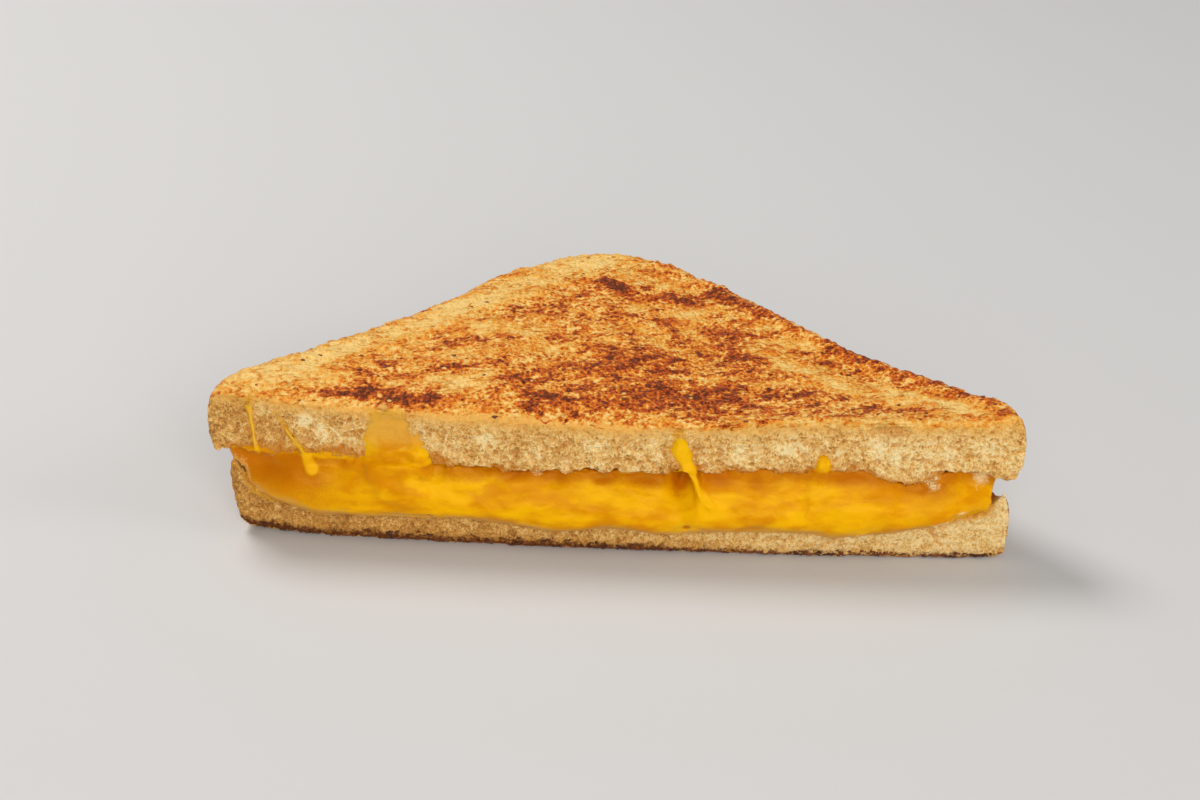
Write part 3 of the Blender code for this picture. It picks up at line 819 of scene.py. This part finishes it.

# Hollows and creases of the cheese, as x, height, half width, half height, depth and how much painted shade
# darkens them.
CHEESE_HOLLOWS = ((12.4, 14.2, 1.6, 2.5, 1.3, 0.9), (27.2, 14.8, 2.2, 1.9, 0.5, 0.55),
                  (36.3, 11.5, 0.5, 3.4, 0.35, 0.4), (13.9, 6.6, 0.7, 0.6, 0.6, 1.3),
                  (-35.0, 6.4, 0.8, 0.7, 0.8, 1.6), (-18.5, 15.6, 2.8, 1.3, 0.6, 0.55),
                  (-11.5, 15.4, 2.4, 1.4, 0.6, 0.55), (-2.5, 15.6, 2.3, 1.5, 0.6, 0.55),
                  (6.0, 15.6, 2.8, 2.0, 0.7, 0.55), (20.0, 15.6, 3.2, 1.6, 0.6, 0.55),
                  (45.0, 16.6, 4.6, 1.9, 0.6, 0.45), (60.5, 15.4, 4.0, 2.4, 0.7, 0.5),
                  (-66.0, 14.6, 2.6, 1.6, 0.5, 0.15), (-46.0, 9.0, 9.0, 0.9, 0.25, 0.3),
                  (-6.0, 8.6, 8.0, 0.7, 0.2, 0.25))
BELLY_HILLS = ((4.5, 0.40, 21), (1.8, 0.14, 22))
BACK_HILLS = ((6.0, 0.55, 25), (2.2, 0.22, 26))
UPPER_PULL = 1.25
LOWER_PULL = 1.15
STICK_TURN = (0.75, 0.97)


def met_from_front(skin, across, up, reach):
    """Where a straight line from in front of the cut first meets a skin, or nothing."""
    return skin.ray_cast(Vector((across, -0.1, up)), Vector((0.0, 1.0, 0.0)), reach)[0]


def front_surface(pieces, across, up):
    """The first surface met from the front at each place, as the distance along Y, or no number."""
    graph = bpy.context.evaluated_depsgraph_get()
    skins = [BVHTree.FromObject(piece, graph) for piece in pieces]
    found = np.full(across.shape, np.nan)
    for spot in np.ndindex(across.shape):
        for skin in skins:
            hit = met_from_front(skin, across[spot], up[spot], SMEAR_RAY)
            if hit is not None and not hit.y > found[spot]:
                found[spot] = hit.y
    return found


def stroke_field(across, up, strokes):
    """How far inside a stroke each place lies, 1 at its middle and 0 at its border, and its thickness."""
    inside = np.full(across.shape, -1.0)
    thick = np.zeros(across.shape)
    for stroke in strokes:
        for (x0, z0, w0, t0), (x1, z1, w1, t1) in zip(stroke, stroke[1:]):
            run = np.array((x1 - x0, z1 - z0))
            share = ((across / MM - x0) * run[0] + (up / MM - z0) * run[1]) / (run @ run)
            share = np.clip(share, 0.0, 1.0)
            away = np.hypot(across / MM - x0 - share * run[0], up / MM - z0 - share * run[1])
            depth = 1.0 - away / (w0 + share * (w1 - w0))
            better = depth > inside
            inside = np.where(better, depth, inside)
            thick = np.where(better, t0 + share * (t1 - t0), thick)
    return inside, thick * MM


def soften(sheet, rounds):
    for turn in range(rounds):
        padded = np.pad(sheet, 1, mode="edge")
        sheet = (padded[:-2, 1:-1] + padded[2:, 1:-1] + padded[1:-1, :-2] + padded[1:-1, 2:] + sheet) / 5.0
    return sheet


(span_left, span_right), (span_low, span_high) = SMEAR_SPAN
columns = int((span_right - span_left) * MM / SMEAR_STEP) + 1
rows = int((span_high - span_low) * MM / SMEAR_STEP) + 1
bpy.ops.mesh.primitive_grid_add(x_subdivisions=columns - 1, y_subdivisions=rows - 1, size=1.0)
smears = bpy.context.object
grid = points_of(smears)
across = (span_left + (grid[:, 0] + 0.5) * (span_right - span_left)) * MM
up = (span_low + (grid[:, 1] + 0.5) * (span_high - span_low)) * MM
places = np.column_stack((across, np.zeros(len(across)), up))
inside, thick = stroke_field(across, up, SMEARS)
inside += layered(places, SMEAR_HILLS) * (inside > -0.9)
wanted = inside > SMEAR_OUTSIDE
surface_y = np.full(len(grid), np.nan)
surface_y[wanted] = front_surface((toast, cheese, base), across[wanted], up[wanted])
lost = np.isnan(surface_y)
order = np.lexsort((grid[:, 0], np.round((grid[:, 1] + 0.5) * (rows - 1))))
sheet = np.where(lost, np.nanmedian(surface_y), surface_y)[order].reshape(rows, columns)
surface_y[order] = np.minimum(soften(sheet, SMEAR_SOFTENING), sheet - SMEAR_CLEAR).ravel()
rise = np.clip(inside / 0.6, 0.0, 1.0)
proud = thick * np.sqrt(1.0 - (1.0 - rise) ** 2)
sunk = SUNK * np.clip(-inside / 0.3, 0.0, 1.0)
place_points(smears, np.column_stack((across, surface_y - proud + sunk, up)))
corners = np.empty(len(smears.data.loops), dtype=np.int64)
smears.data.loops.foreach_get("vertex_index", corners)
missed = (lost | ~wanted)[corners].reshape(-1, 4).any(axis=1)
outside = (inside[corners].reshape(-1, 4) < SMEAR_BORDER).all(axis=1)
edit_faces(smears, missed | outside)
bpy.ops.mesh.delete(type="FACE")
bpy.ops.mesh.select_all(action="SELECT")
bpy.ops.mesh.delete_loose()
bpy.ops.mesh.select_all(action="SELECT")
bpy.ops.mesh.normals_make_consistent(inside=False)
bpy.ops.object.mode_set(mode="OBJECT")
if np.mean(face_facts(smears)[1][:, 1]) > 0.0:
    smears.data.flip_normals()
apply_modifier(smears, "SOLIDIFY", thickness=SMEAR_WALL, offset=-1.0)
select_only(cheese)
smears.select_set(True)
bpy.ops.object.join()
apply_modifier(cheese, "REMESH", mode="VOXEL", voxel_size=MELTED_GRAIN)
apply_modifier(cheese, "SMOOTH", factor=0.5, iterations=MELTED_SOFTENING)
middles, directions = face_facts(cheese)
hidden = (np.abs(directions[:, 2]) > LEVEL_FACING) & (middles[:, 1] > cad_low[1] + SEEN_BAND)
thin_faces(cheese, hidden, HIDDEN_SHARE)
points = points_of(cheese)
directions = directions_of(cheese)
near_cut = points[:, 1] < cad_low[1] + NEAR_CUT
front = ease(-directions[:, 1], 0.0, 0.6) * near_cut
swell = layered(points * (0.55, 1.0, 1.0), BELLY_HILLS)
points += directions * (front * (swell - 0.20) * MM)[:, None]
back = (1.0 - front) * ease(0.8 - np.abs(directions[:, 2]), 0.0, 0.4) * ~near_cut
points += directions * (back * layered(points, BACK_HILLS) * MM)[:, None]
# Each hollow is also darkened, as painted shade.
hollow_shade = np.zeros(len(points))
for x, z, wide, high, deep, tint in CHEESE_HOLLOWS:
    share = np.exp(-((points[:, 0] / MM - x) / wide) ** 2 - ((points[:, 2] / MM - z) / high) ** 2)
    points[:, 1] += front * share * deep * MM
    hollow_shade = np.maximum(hollow_shade, share * tint)
body = ease(low_seam(points) + 0.6 * MM - points[:, 2], 0.0, 1.2 * MM)
lumps = places_share(points, DRAGGED_CRUMB) * (0.35 + 0.5 * hills(points, 0.9 * MM, 27))
points += directions * (front * lumps * MM)[:, None]

# The cheese is drawn onto the crumb above it and below it, and its lower lip hangs in small drips.
upper_tree = tree_of(crumb_points(toast))
lower_tree = tree_of(crumb_points(base))
for tree, pull, drips in ((upper_tree, UPPER_PULL * body, 0.0), (lower_tree, LOWER_PULL, 1.0)):
    away, spot = nearest(points, near_cut, tree)
    stuck = ease(STICK_REACH - away, 0.0, STICK_REACH) * (1.0 - ease(-directions[:, 1], *STICK_TURN))
    points += (spot - points) * (stuck * pull)[:, None]
    points[:, 1] -= stuck * drips * (0.05 + 0.42 * hills(points, 1.1 * MM, 28)) * MM
place_points(cheese, points)

# Marks for the finish: painted shade where the cheese lies under the crumb above it, in its hollows
# and towards both ends, where it is drawn thin, where it is a film on the crumb, its lower lip, and
# where crumb covers it.
across, up = points[:, 0], points[:, 2]
upper_away = nearest(points, near_cut, upper_tree)[0]
shaded = ease(BROW_SHADE_REACH - upper_away, 0.0, BROW_SHADE_REACH)
# Painted shade also darkens the cheese towards both ends, more at the left and higher up there.
left_end_shade = ease(-40.0 * MM - across, 0.0, 22.0 * MM) * (0.62 + 0.5 * ease(up, 8.0 * MM, 14.0 * MM))
right_end_shade = 0.45 * ease(across, 30.0 * MM, 60.0 * MM)
shaded = np.maximum.reduce((shaded * body, left_end_shade * body, right_end_shade * body))
inside = stroke_field(across, up, DRAWN_SMEARS)[0]
drawn_from = np.where(across > 30.0 * MM, 18.0, 11.5) * MM
film = ease(up, 15.5 * MM, 25.0 * MM) * (across < -30.0 * MM) * (across > -55.0 * MM)
film += 0.75 * ease(up, 17.0 * MM, 19.5 * MM) * (across < -56.0 * MM)
lip_reach = 1.0 + 0.9 * ease(-38.0 * MM - across, 0.0, 20.0 * MM) + 0.5 * hills(points, 5.0 * MM, 29)
lip_reach = LIP_REACH * lip_reach
above_rim = up - along_cut(points, front > 0.6, 2, np.min)
mark(cheese, drawn=ease(inside, 0.0, 0.4) * front * ease(up - drawn_from, 0.0, 2.0 * MM),
     brow=np.clip(shaded * 0.8 + hollow_shade, 0.0, 1.6), film=film,
     lip=ease(lip_reach - above_rim, 0.0, lip_reach) * (front > 0.05),
     dragged=places_share(points, DRAGGED_CRUMB) * front)

# Its fat soaks into the crumb beside it, and its smears tint the crumb round them.
cheese_tree = tree_of(points[front > 0.05])
for bread in (toast, base):
    points = points_of(bread)
    away = nearest(points, points[:, 1] < cad_low[1] + NEAR_CUT, cheese_tree)[0]
    soak = ease(SOAK_REACH - away, 0.0, SOAK_REACH)
    soak *= 0.85 - 0.5 * ease(points[:, 2], 18.0 * MM, 20.5 * MM)
    soak = np.maximum(soak, places_share(points, SOAKED_PLACES) * (away < 0.9))
    inside = stroke_field(points[:, 0], points[:, 2], SMEARED_OVER)[0]
    mark(bread, soak=soak, smeared=ease(inside, -0.30, 0.55) * (points[:, 1] < cad_low[1] + SEAM_BAND))

# Tones of the melted cheese, from its bright belly to the painted shade under the crumb and in its deepest
# hollows.
CHEESE_BRIGHT = paint(246, 188, 0)
CHEESE_GOLD = paint(220, 144, 0)
CHEESE_DRAWN = paint(246, 190, 14)
CRUMB_ON_CHEESE = paint(244, 218, 168)
# Painted shade: the cheese darker under the upper crumb and towards its ends.
CHEESE_BROW_SHADE = paint(190, 100, 4)
# Painted shade in the deepest hollows of the cheese.
CHEESE_HOLLOW_SHADE = paint(120, 58, 16)
CHEESE_FILM = paint(232, 182, 84)
CHEESE_CRUMBED = paint(220, 166, 88)


def cheese_finish(name):
    finish = Finish(name)
    place = finish.node("ShaderNodeTexCoord", {}, {}, "Object")
    along = finish.stretched(place, 2.2)
    broad = finish.noise(along, 5.0 * MM, 2.0, 0.5)
    streaks = finish.noise(along, 1.5 * MM, 3.0, 0.6, 0.4)
    fine = finish.noise(place, 0.45 * MM, 2.0, 0.5)
    brow = finish.attribute("brow")
    film = finish.attribute("film")
    lip = finish.attribute("lip")
    colour = finish.mix(finish.between(broad + streaks * 0.4, -0.17, 0.16), CHEESE_GOLD, CHEESE_BRIGHT)
    # Painted shade under the upper crumb, towards the ends and in the hollows.
    shade = finish.between(brow + broad * 1.1 + streaks * 0.5 + fine * 0.3, 0.25, 1.00)
    colour = finish.mix(shade * (1.0 - film) * 0.85, colour, CHEESE_BROW_SHADE)
    # The deepest hollows darkest, as painted shade.
    colour = finish.laid_over(colour, ((brow, 1.10, 1.60, 0.90, CHEESE_HOLLOW_SHADE),))
    colour = finish.mix(finish.attribute("drawn") * 0.8, colour, CHEESE_DRAWN)
    colour = finish.laid_over(colour, (
        (film + fine * 0.5 + streaks * 0.6, 0.30, 1.00, 0.65, CHEESE_FILM),
        (lip + fine * 1.6 + streaks, 0.45, 1.05, 0.85, CHEESE_CRUMBED)))
    dragged = finish.between(finish.attribute("dragged") + fine * 1.1 + streaks * 0.8, 0.25, 0.95)
    colour = finish.mix(dragged * 0.85, colour, CRUMB_ON_CHEESE)
    roughness = 0.34 + streaks * 0.25 + dragged * 0.35 + lip * 0.15
    bump = finish.bump(streaks + fine * 0.3, 0.16 * MM, 0.35)
    surface = finish.node("ShaderNodeBsdfPrincipled", {}, {
        "Base Color": colour, "Roughness": roughness, "Normal": bump,
        "Subsurface Weight": 0.35, "Subsurface Scale": 1.4 * MM, "Subsurface Radius": (1.0, 0.5, 0.02),
        "Specular IOR Level": 0.3, "Specular Tint": (1.0, 0.72, 0.15, 1.0)})
    return finish.finish_with(surface)


dress(cheese, cheese_finish("melted cheese"))
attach(cheese, "root")
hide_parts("cheese")


# Crumbs that came loose: dark ones along the fried lower edge, pale and brown flecks on the grilled
# top, and white shreds of crumb that the knife dragged over the cheese near the right end. One small
# ragged lump is modelled and copied, turned and squeezed, and each group is joined into one piece.
LUMP_SIZE = 1.0 * MM
FULL_TURN = 6.28
CRUMB_RAY = 90.0 * MM
UNDERSIDE_CRUMBS = 760
UNDERSIDE_SIZES = (0.12, 0.34)
TOP_FLECKS = 110
FLECK_SIZES = (0.14, 0.36)
PALE_SHARE = 0.55
ABOVE_TOP = 60.0 * MM
# Flecks that show singly, as x, y and size in millimetres.
PLACED_FLECKS = ((-44.1, -34.5, 0.7), (45.0, -27.0, 0.3), (46.4, -26.4, 0.34), (47.6, -27.2, 0.26),
                 (53.6, -28.6, 0.34), (54.6, -28.2, 0.24), (58.5, -30.6, 0.26), (49.5, -29.5, 0.24),
                 (38.5, -25.0, 0.3))
# Shreds, as x, height, half length, half height, number and lump size in millimetres.
SHREDS = ((58.8, 17.6, 2.0, 0.9, 14, 0.30), (60.0, 16.0, 1.4, 1.0, 9, 0.28),
          (69.6, 17.4, 1.6, 1.5, 16, 0.32), (61.0, 8.0, 0.7, 0.8, 7, 0.24),
          (63.0, 8.9, 1.2, 0.35, 7, 0.24), (65.4, 10.6, 1.1, 0.35, 7, 0.22),
          (47.0, 5.2, 1.0, 0.4, 6, 0.24), (-14.8, 15.9, 1.1, 0.5, 6, 0.22),
          (50.4, 23.4, 1.4, 2.0, 12, 0.28), (53.6, 21.2, 0.7, 1.8, 9, 0.26),
          (-57.5, 24.2, 1.6, 1.2, 9, 0.26))


def ragged_lump(name, seed):
    bpy.ops.mesh.primitive_ico_sphere_add(subdivisions=2, radius=LUMP_SIZE)
    lump = bpy.context.object
    lump.name = name
    bpy.ops.object.mode_set(mode="EDIT")
    bpy.ops.mesh.select_all(action="SELECT")
    bpy.ops.transform.vertex_random(offset=0.42 * LUMP_SIZE, uniform=0.7, normal=0.4, seed=seed)
    bpy.ops.object.mode_set(mode="OBJECT")
    return lump


def copies_of(lump, name, spots, material):
    """Copies of a lump joined into one piece. A spot is its place and its stretch on each axis."""
    chance = np.random.default_rng(len(spots))
    copies = []
    for place, stretch in spots:
        copy = bpy.data.objects.new(name, lump.data.copy())
        bpy.context.scene.collection.objects.link(copy)
        turned = Matrix.Rotation(chance.uniform(0.0, FULL_TURN), 4, "Z")
        turned = turned @ Matrix.Rotation(chance.uniform(0.0, FULL_TURN), 4, "X")
        copy.data.transform(Matrix.Translation(place) @ Matrix.Diagonal((*stretch, 1.0)) @ turned)
        copies.append(copy)
    bpy.ops.object.select_all(action="DESELECT")
    for copy in copies:
        copy.select_set(True)
    bpy.context.view_layer.objects.active = copies[0]
    bpy.ops.object.join()
    piece = bpy.context.object
    piece.name = name
    place_points(piece, points_of(piece))
    dress(piece, material)
    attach(piece, "root")
    return piece


def crumb_finish(name, first, second, shine):
    finish = Finish(name)
    place = finish.node("ShaderNodeTexCoord", {}, {}, "Object")
    grain = finish.noise(place, 0.5 * MM, 2.0, 0.6)
    patches = finish.noise(place, 3.0 * MM, 2.0, 0.5)
    colour = finish.mix(finish.between(patches + grain * 0.8, -0.14, 0.14), first, second)
    bump = finish.bump(grain, 0.15 * MM, 0.8)
    surface = finish.node("ShaderNodeBsdfPrincipled", {}, {
        "Base Color": colour, "Roughness": shine + grain * 0.3, "Normal": bump,
        "Subsurface Weight": 0.1, "Subsurface Scale": 0.8 * MM, "Subsurface Radius": (1.0, 0.6, 0.3)})
    return finish.finish_with(surface)


def met_from_above(across, deep):
    """Place and direction of the grilled top where a line straight down meets it, or nothing."""
    return toast_skin.ray_cast(Vector((across, deep, ABOVE_TOP)), Vector((0.0, 0.0, -1.0)), 50.0 * MM)[:2]


lump = ragged_lump("lump", 3)
chance = np.random.default_rng(77)
graph = bpy.context.evaluated_depsgraph_get()
base_skin = BVHTree.FromObject(base, graph)
toast_skin = BVHTree.FromObject(toast, graph)
front_skins = (toast_skin, BVHTree.FromObject(cheese, graph), base_skin)
under_spots = []
while len(under_spots) < UNDERSIDE_CRUMBS:
    across = chance.uniform(-70.0, 73.0) * MM
    up = (0.2 + (1.6 - 0.8 * (across > 0.0)) * chance.random() ** 2.2) * MM
    hit = met_from_front(base_skin, across, up, CRUMB_RAY)
    clump = 0.5 + 0.5 * math.sin(across / MM * 0.9) * math.sin(across / MM * 0.37 + 1.0)
    if hit is not None and chance.random() < 0.25 + 0.75 * clump:
        size = chance.uniform(*UNDERSIDE_SIZES)
        under_spots.append((hit + Vector((0.0, 0.12 * MM, 0.0)), (size * 1.6, size, size * 0.7)))
fried_crumbs = crumb_finish("fried crumbs", paint(70, 30, 12), paint(138, 76, 30), 0.6)
under_crumbs = copies_of(lump, "crumbs_underside", under_spots, fried_crumbs)

top_spots = {"pale": [], "brown": []}
while len(top_spots["pale"]) + len(top_spots["brown"]) < TOP_FLECKS:
    across, deep = chance.uniform(-72.0, 72.0) * MM, chance.uniform(-36.0, 34.0) * MM
    hit, normal = met_from_above(across, deep)
    if hit is not None and normal.z > 0.6:
        size = chance.uniform(*FLECK_SIZES)
        kind = "pale" if chance.random() < PALE_SHARE else "brown"
        top_spots[kind].append((hit + normal * 0.05 * MM, (size * 1.4, size, size * 0.6)))
for x, y, size in PLACED_FLECKS:
    hit, normal = met_from_above(x * MM, y * MM)
    top_spots["pale" if x < 0.0 else "brown"].append((hit, (size * 1.5, size, size * 0.6)))
for kind, first, second in (("pale", paint(246, 206, 132), paint(230, 172, 84)),
                            ("brown", paint(96, 38, 14), paint(146, 66, 24))):
    fleck_finish = crumb_finish(kind + " flecks", first, second, 0.5)
    flecks = copies_of(lump, "flecks_" + kind, top_spots[kind], fleck_finish)

shred_spots = []
for x, z, long, high, number, size in SHREDS:
    for turn in range(number):
        across, up = (x + long * chance.normal() * 0.5) * MM, (z + high * chance.normal() * 0.5) * MM
        hits = [met_from_front(skin, across, up, CRUMB_RAY) for skin in front_skins]
        hits = [hit for hit in hits if hit is not None]
        if hits:
            place = min(hits, key=lambda hit: hit.y) + Vector((0.0, 0.22 * MM, 0.0))
            scale = size * chance.uniform(0.6, 1.3)
            stretch = (scale * chance.uniform(0.8, 1.8), scale * 0.9, scale * chance.uniform(0.6, 1.2))
            shred_spots.append((place, stretch))
white_crumb = crumb_finish("white crumb", paint(244, 212, 154), paint(222, 176, 104), 0.7)
shreds = copies_of(lump, "crumb_shreds", shred_spots, white_crumb)
bpy.data.objects.remove(lump)


# The studio: a pale plain floor, soft light from high behind and from the front, and the camera at
# the height and turn of the reference picture.
FLOOR_SIZE = 6.0
FLOOR_GAP = 0.2 * MM
FLOOR_GREY = (0.60, 0.64, 0.72, 1.0)
WARM_WHITE = (1.0, 0.92, 0.80)
LIGHT_AIM = Vector((0.0, 0.0, 0.015))
WORLD_STRENGTH = 0.34

bpy.ops.mesh.primitive_plane_add(size=FLOOR_SIZE, location=(0.0, 0.0, -FLOOR_GAP))
floor = bpy.context.object
floor.name = "studio_floor"
floor_finish = Finish("studio floor")
floor_look = {"Base Color": FLOOR_GREY, "Roughness": 0.7}
floor_surface = floor_finish.node("ShaderNodeBsdfPrincipled", {}, floor_look)
floor.data.materials.append(floor_finish.finish_with(floor_surface))

for name, place, size, power in (("key light", (-0.45, 0.35, 0.75), 0.40, 5.4),
                                 ("front light", (0.10, -0.85, 0.42), 0.60, 4.6),
                                 ("right light", (0.75, -0.15, 0.45), 0.40, 1.4)):
    bpy.ops.object.light_add(type="AREA", location=place)
    lamp = bpy.context.object
    lamp.name = name
    lamp.data.shape = "DISK"
    lamp.data.size = size
    lamp.data.energy = power
    lamp.data.color = WARM_WHITE
    lamp.rotation_euler = (LIGHT_AIM - Vector(place)).to_track_quat("-Z", "Y").to_euler()

world = bpy.data.worlds.new("studio")
bpy.context.scene.world = world
world.use_nodes = True
backdrop = world.node_tree.nodes["Background"].inputs
backdrop["Color"].default_value = (*WARM_WHITE, 1.0)
backdrop["Strength"].default_value = WORLD_STRENGTH

CAMERA_AIM = Vector((-0.0033, -0.0220, 0.0245))
CAMERA_AWAY = 0.545
CAMERA_RISE = math.radians(27.0)
CAMERA_ROLL = math.radians(1.9)

bpy.ops.object.camera_add()
camera = bpy.context.object
camera.name = "studio camera"
camera.data.lens = 85.0
camera.data.sensor_width = 36.0
camera.data.clip_start = 0.01
ahead = Vector((0.0, math.cos(CAMERA_RISE), -math.sin(CAMERA_RISE)))
right = Vector((1.0, 0.0, 0.0))
above = right.cross(ahead)
turned_right = math.cos(CAMERA_ROLL) * right + math.sin(CAMERA_ROLL) * above
turned_above = math.cos(CAMERA_ROLL) * above - math.sin(CAMERA_ROLL) * right
stand = Matrix((turned_right, turned_above, -ahead)).transposed().to_4x4()
stand.translation = CAMERA_AIM - ahead * CAMERA_AWAY
camera.matrix_world = stand
bpy.context.scene.camera = camera
bpy.context.scene.view_settings.view_transform = "Standard"
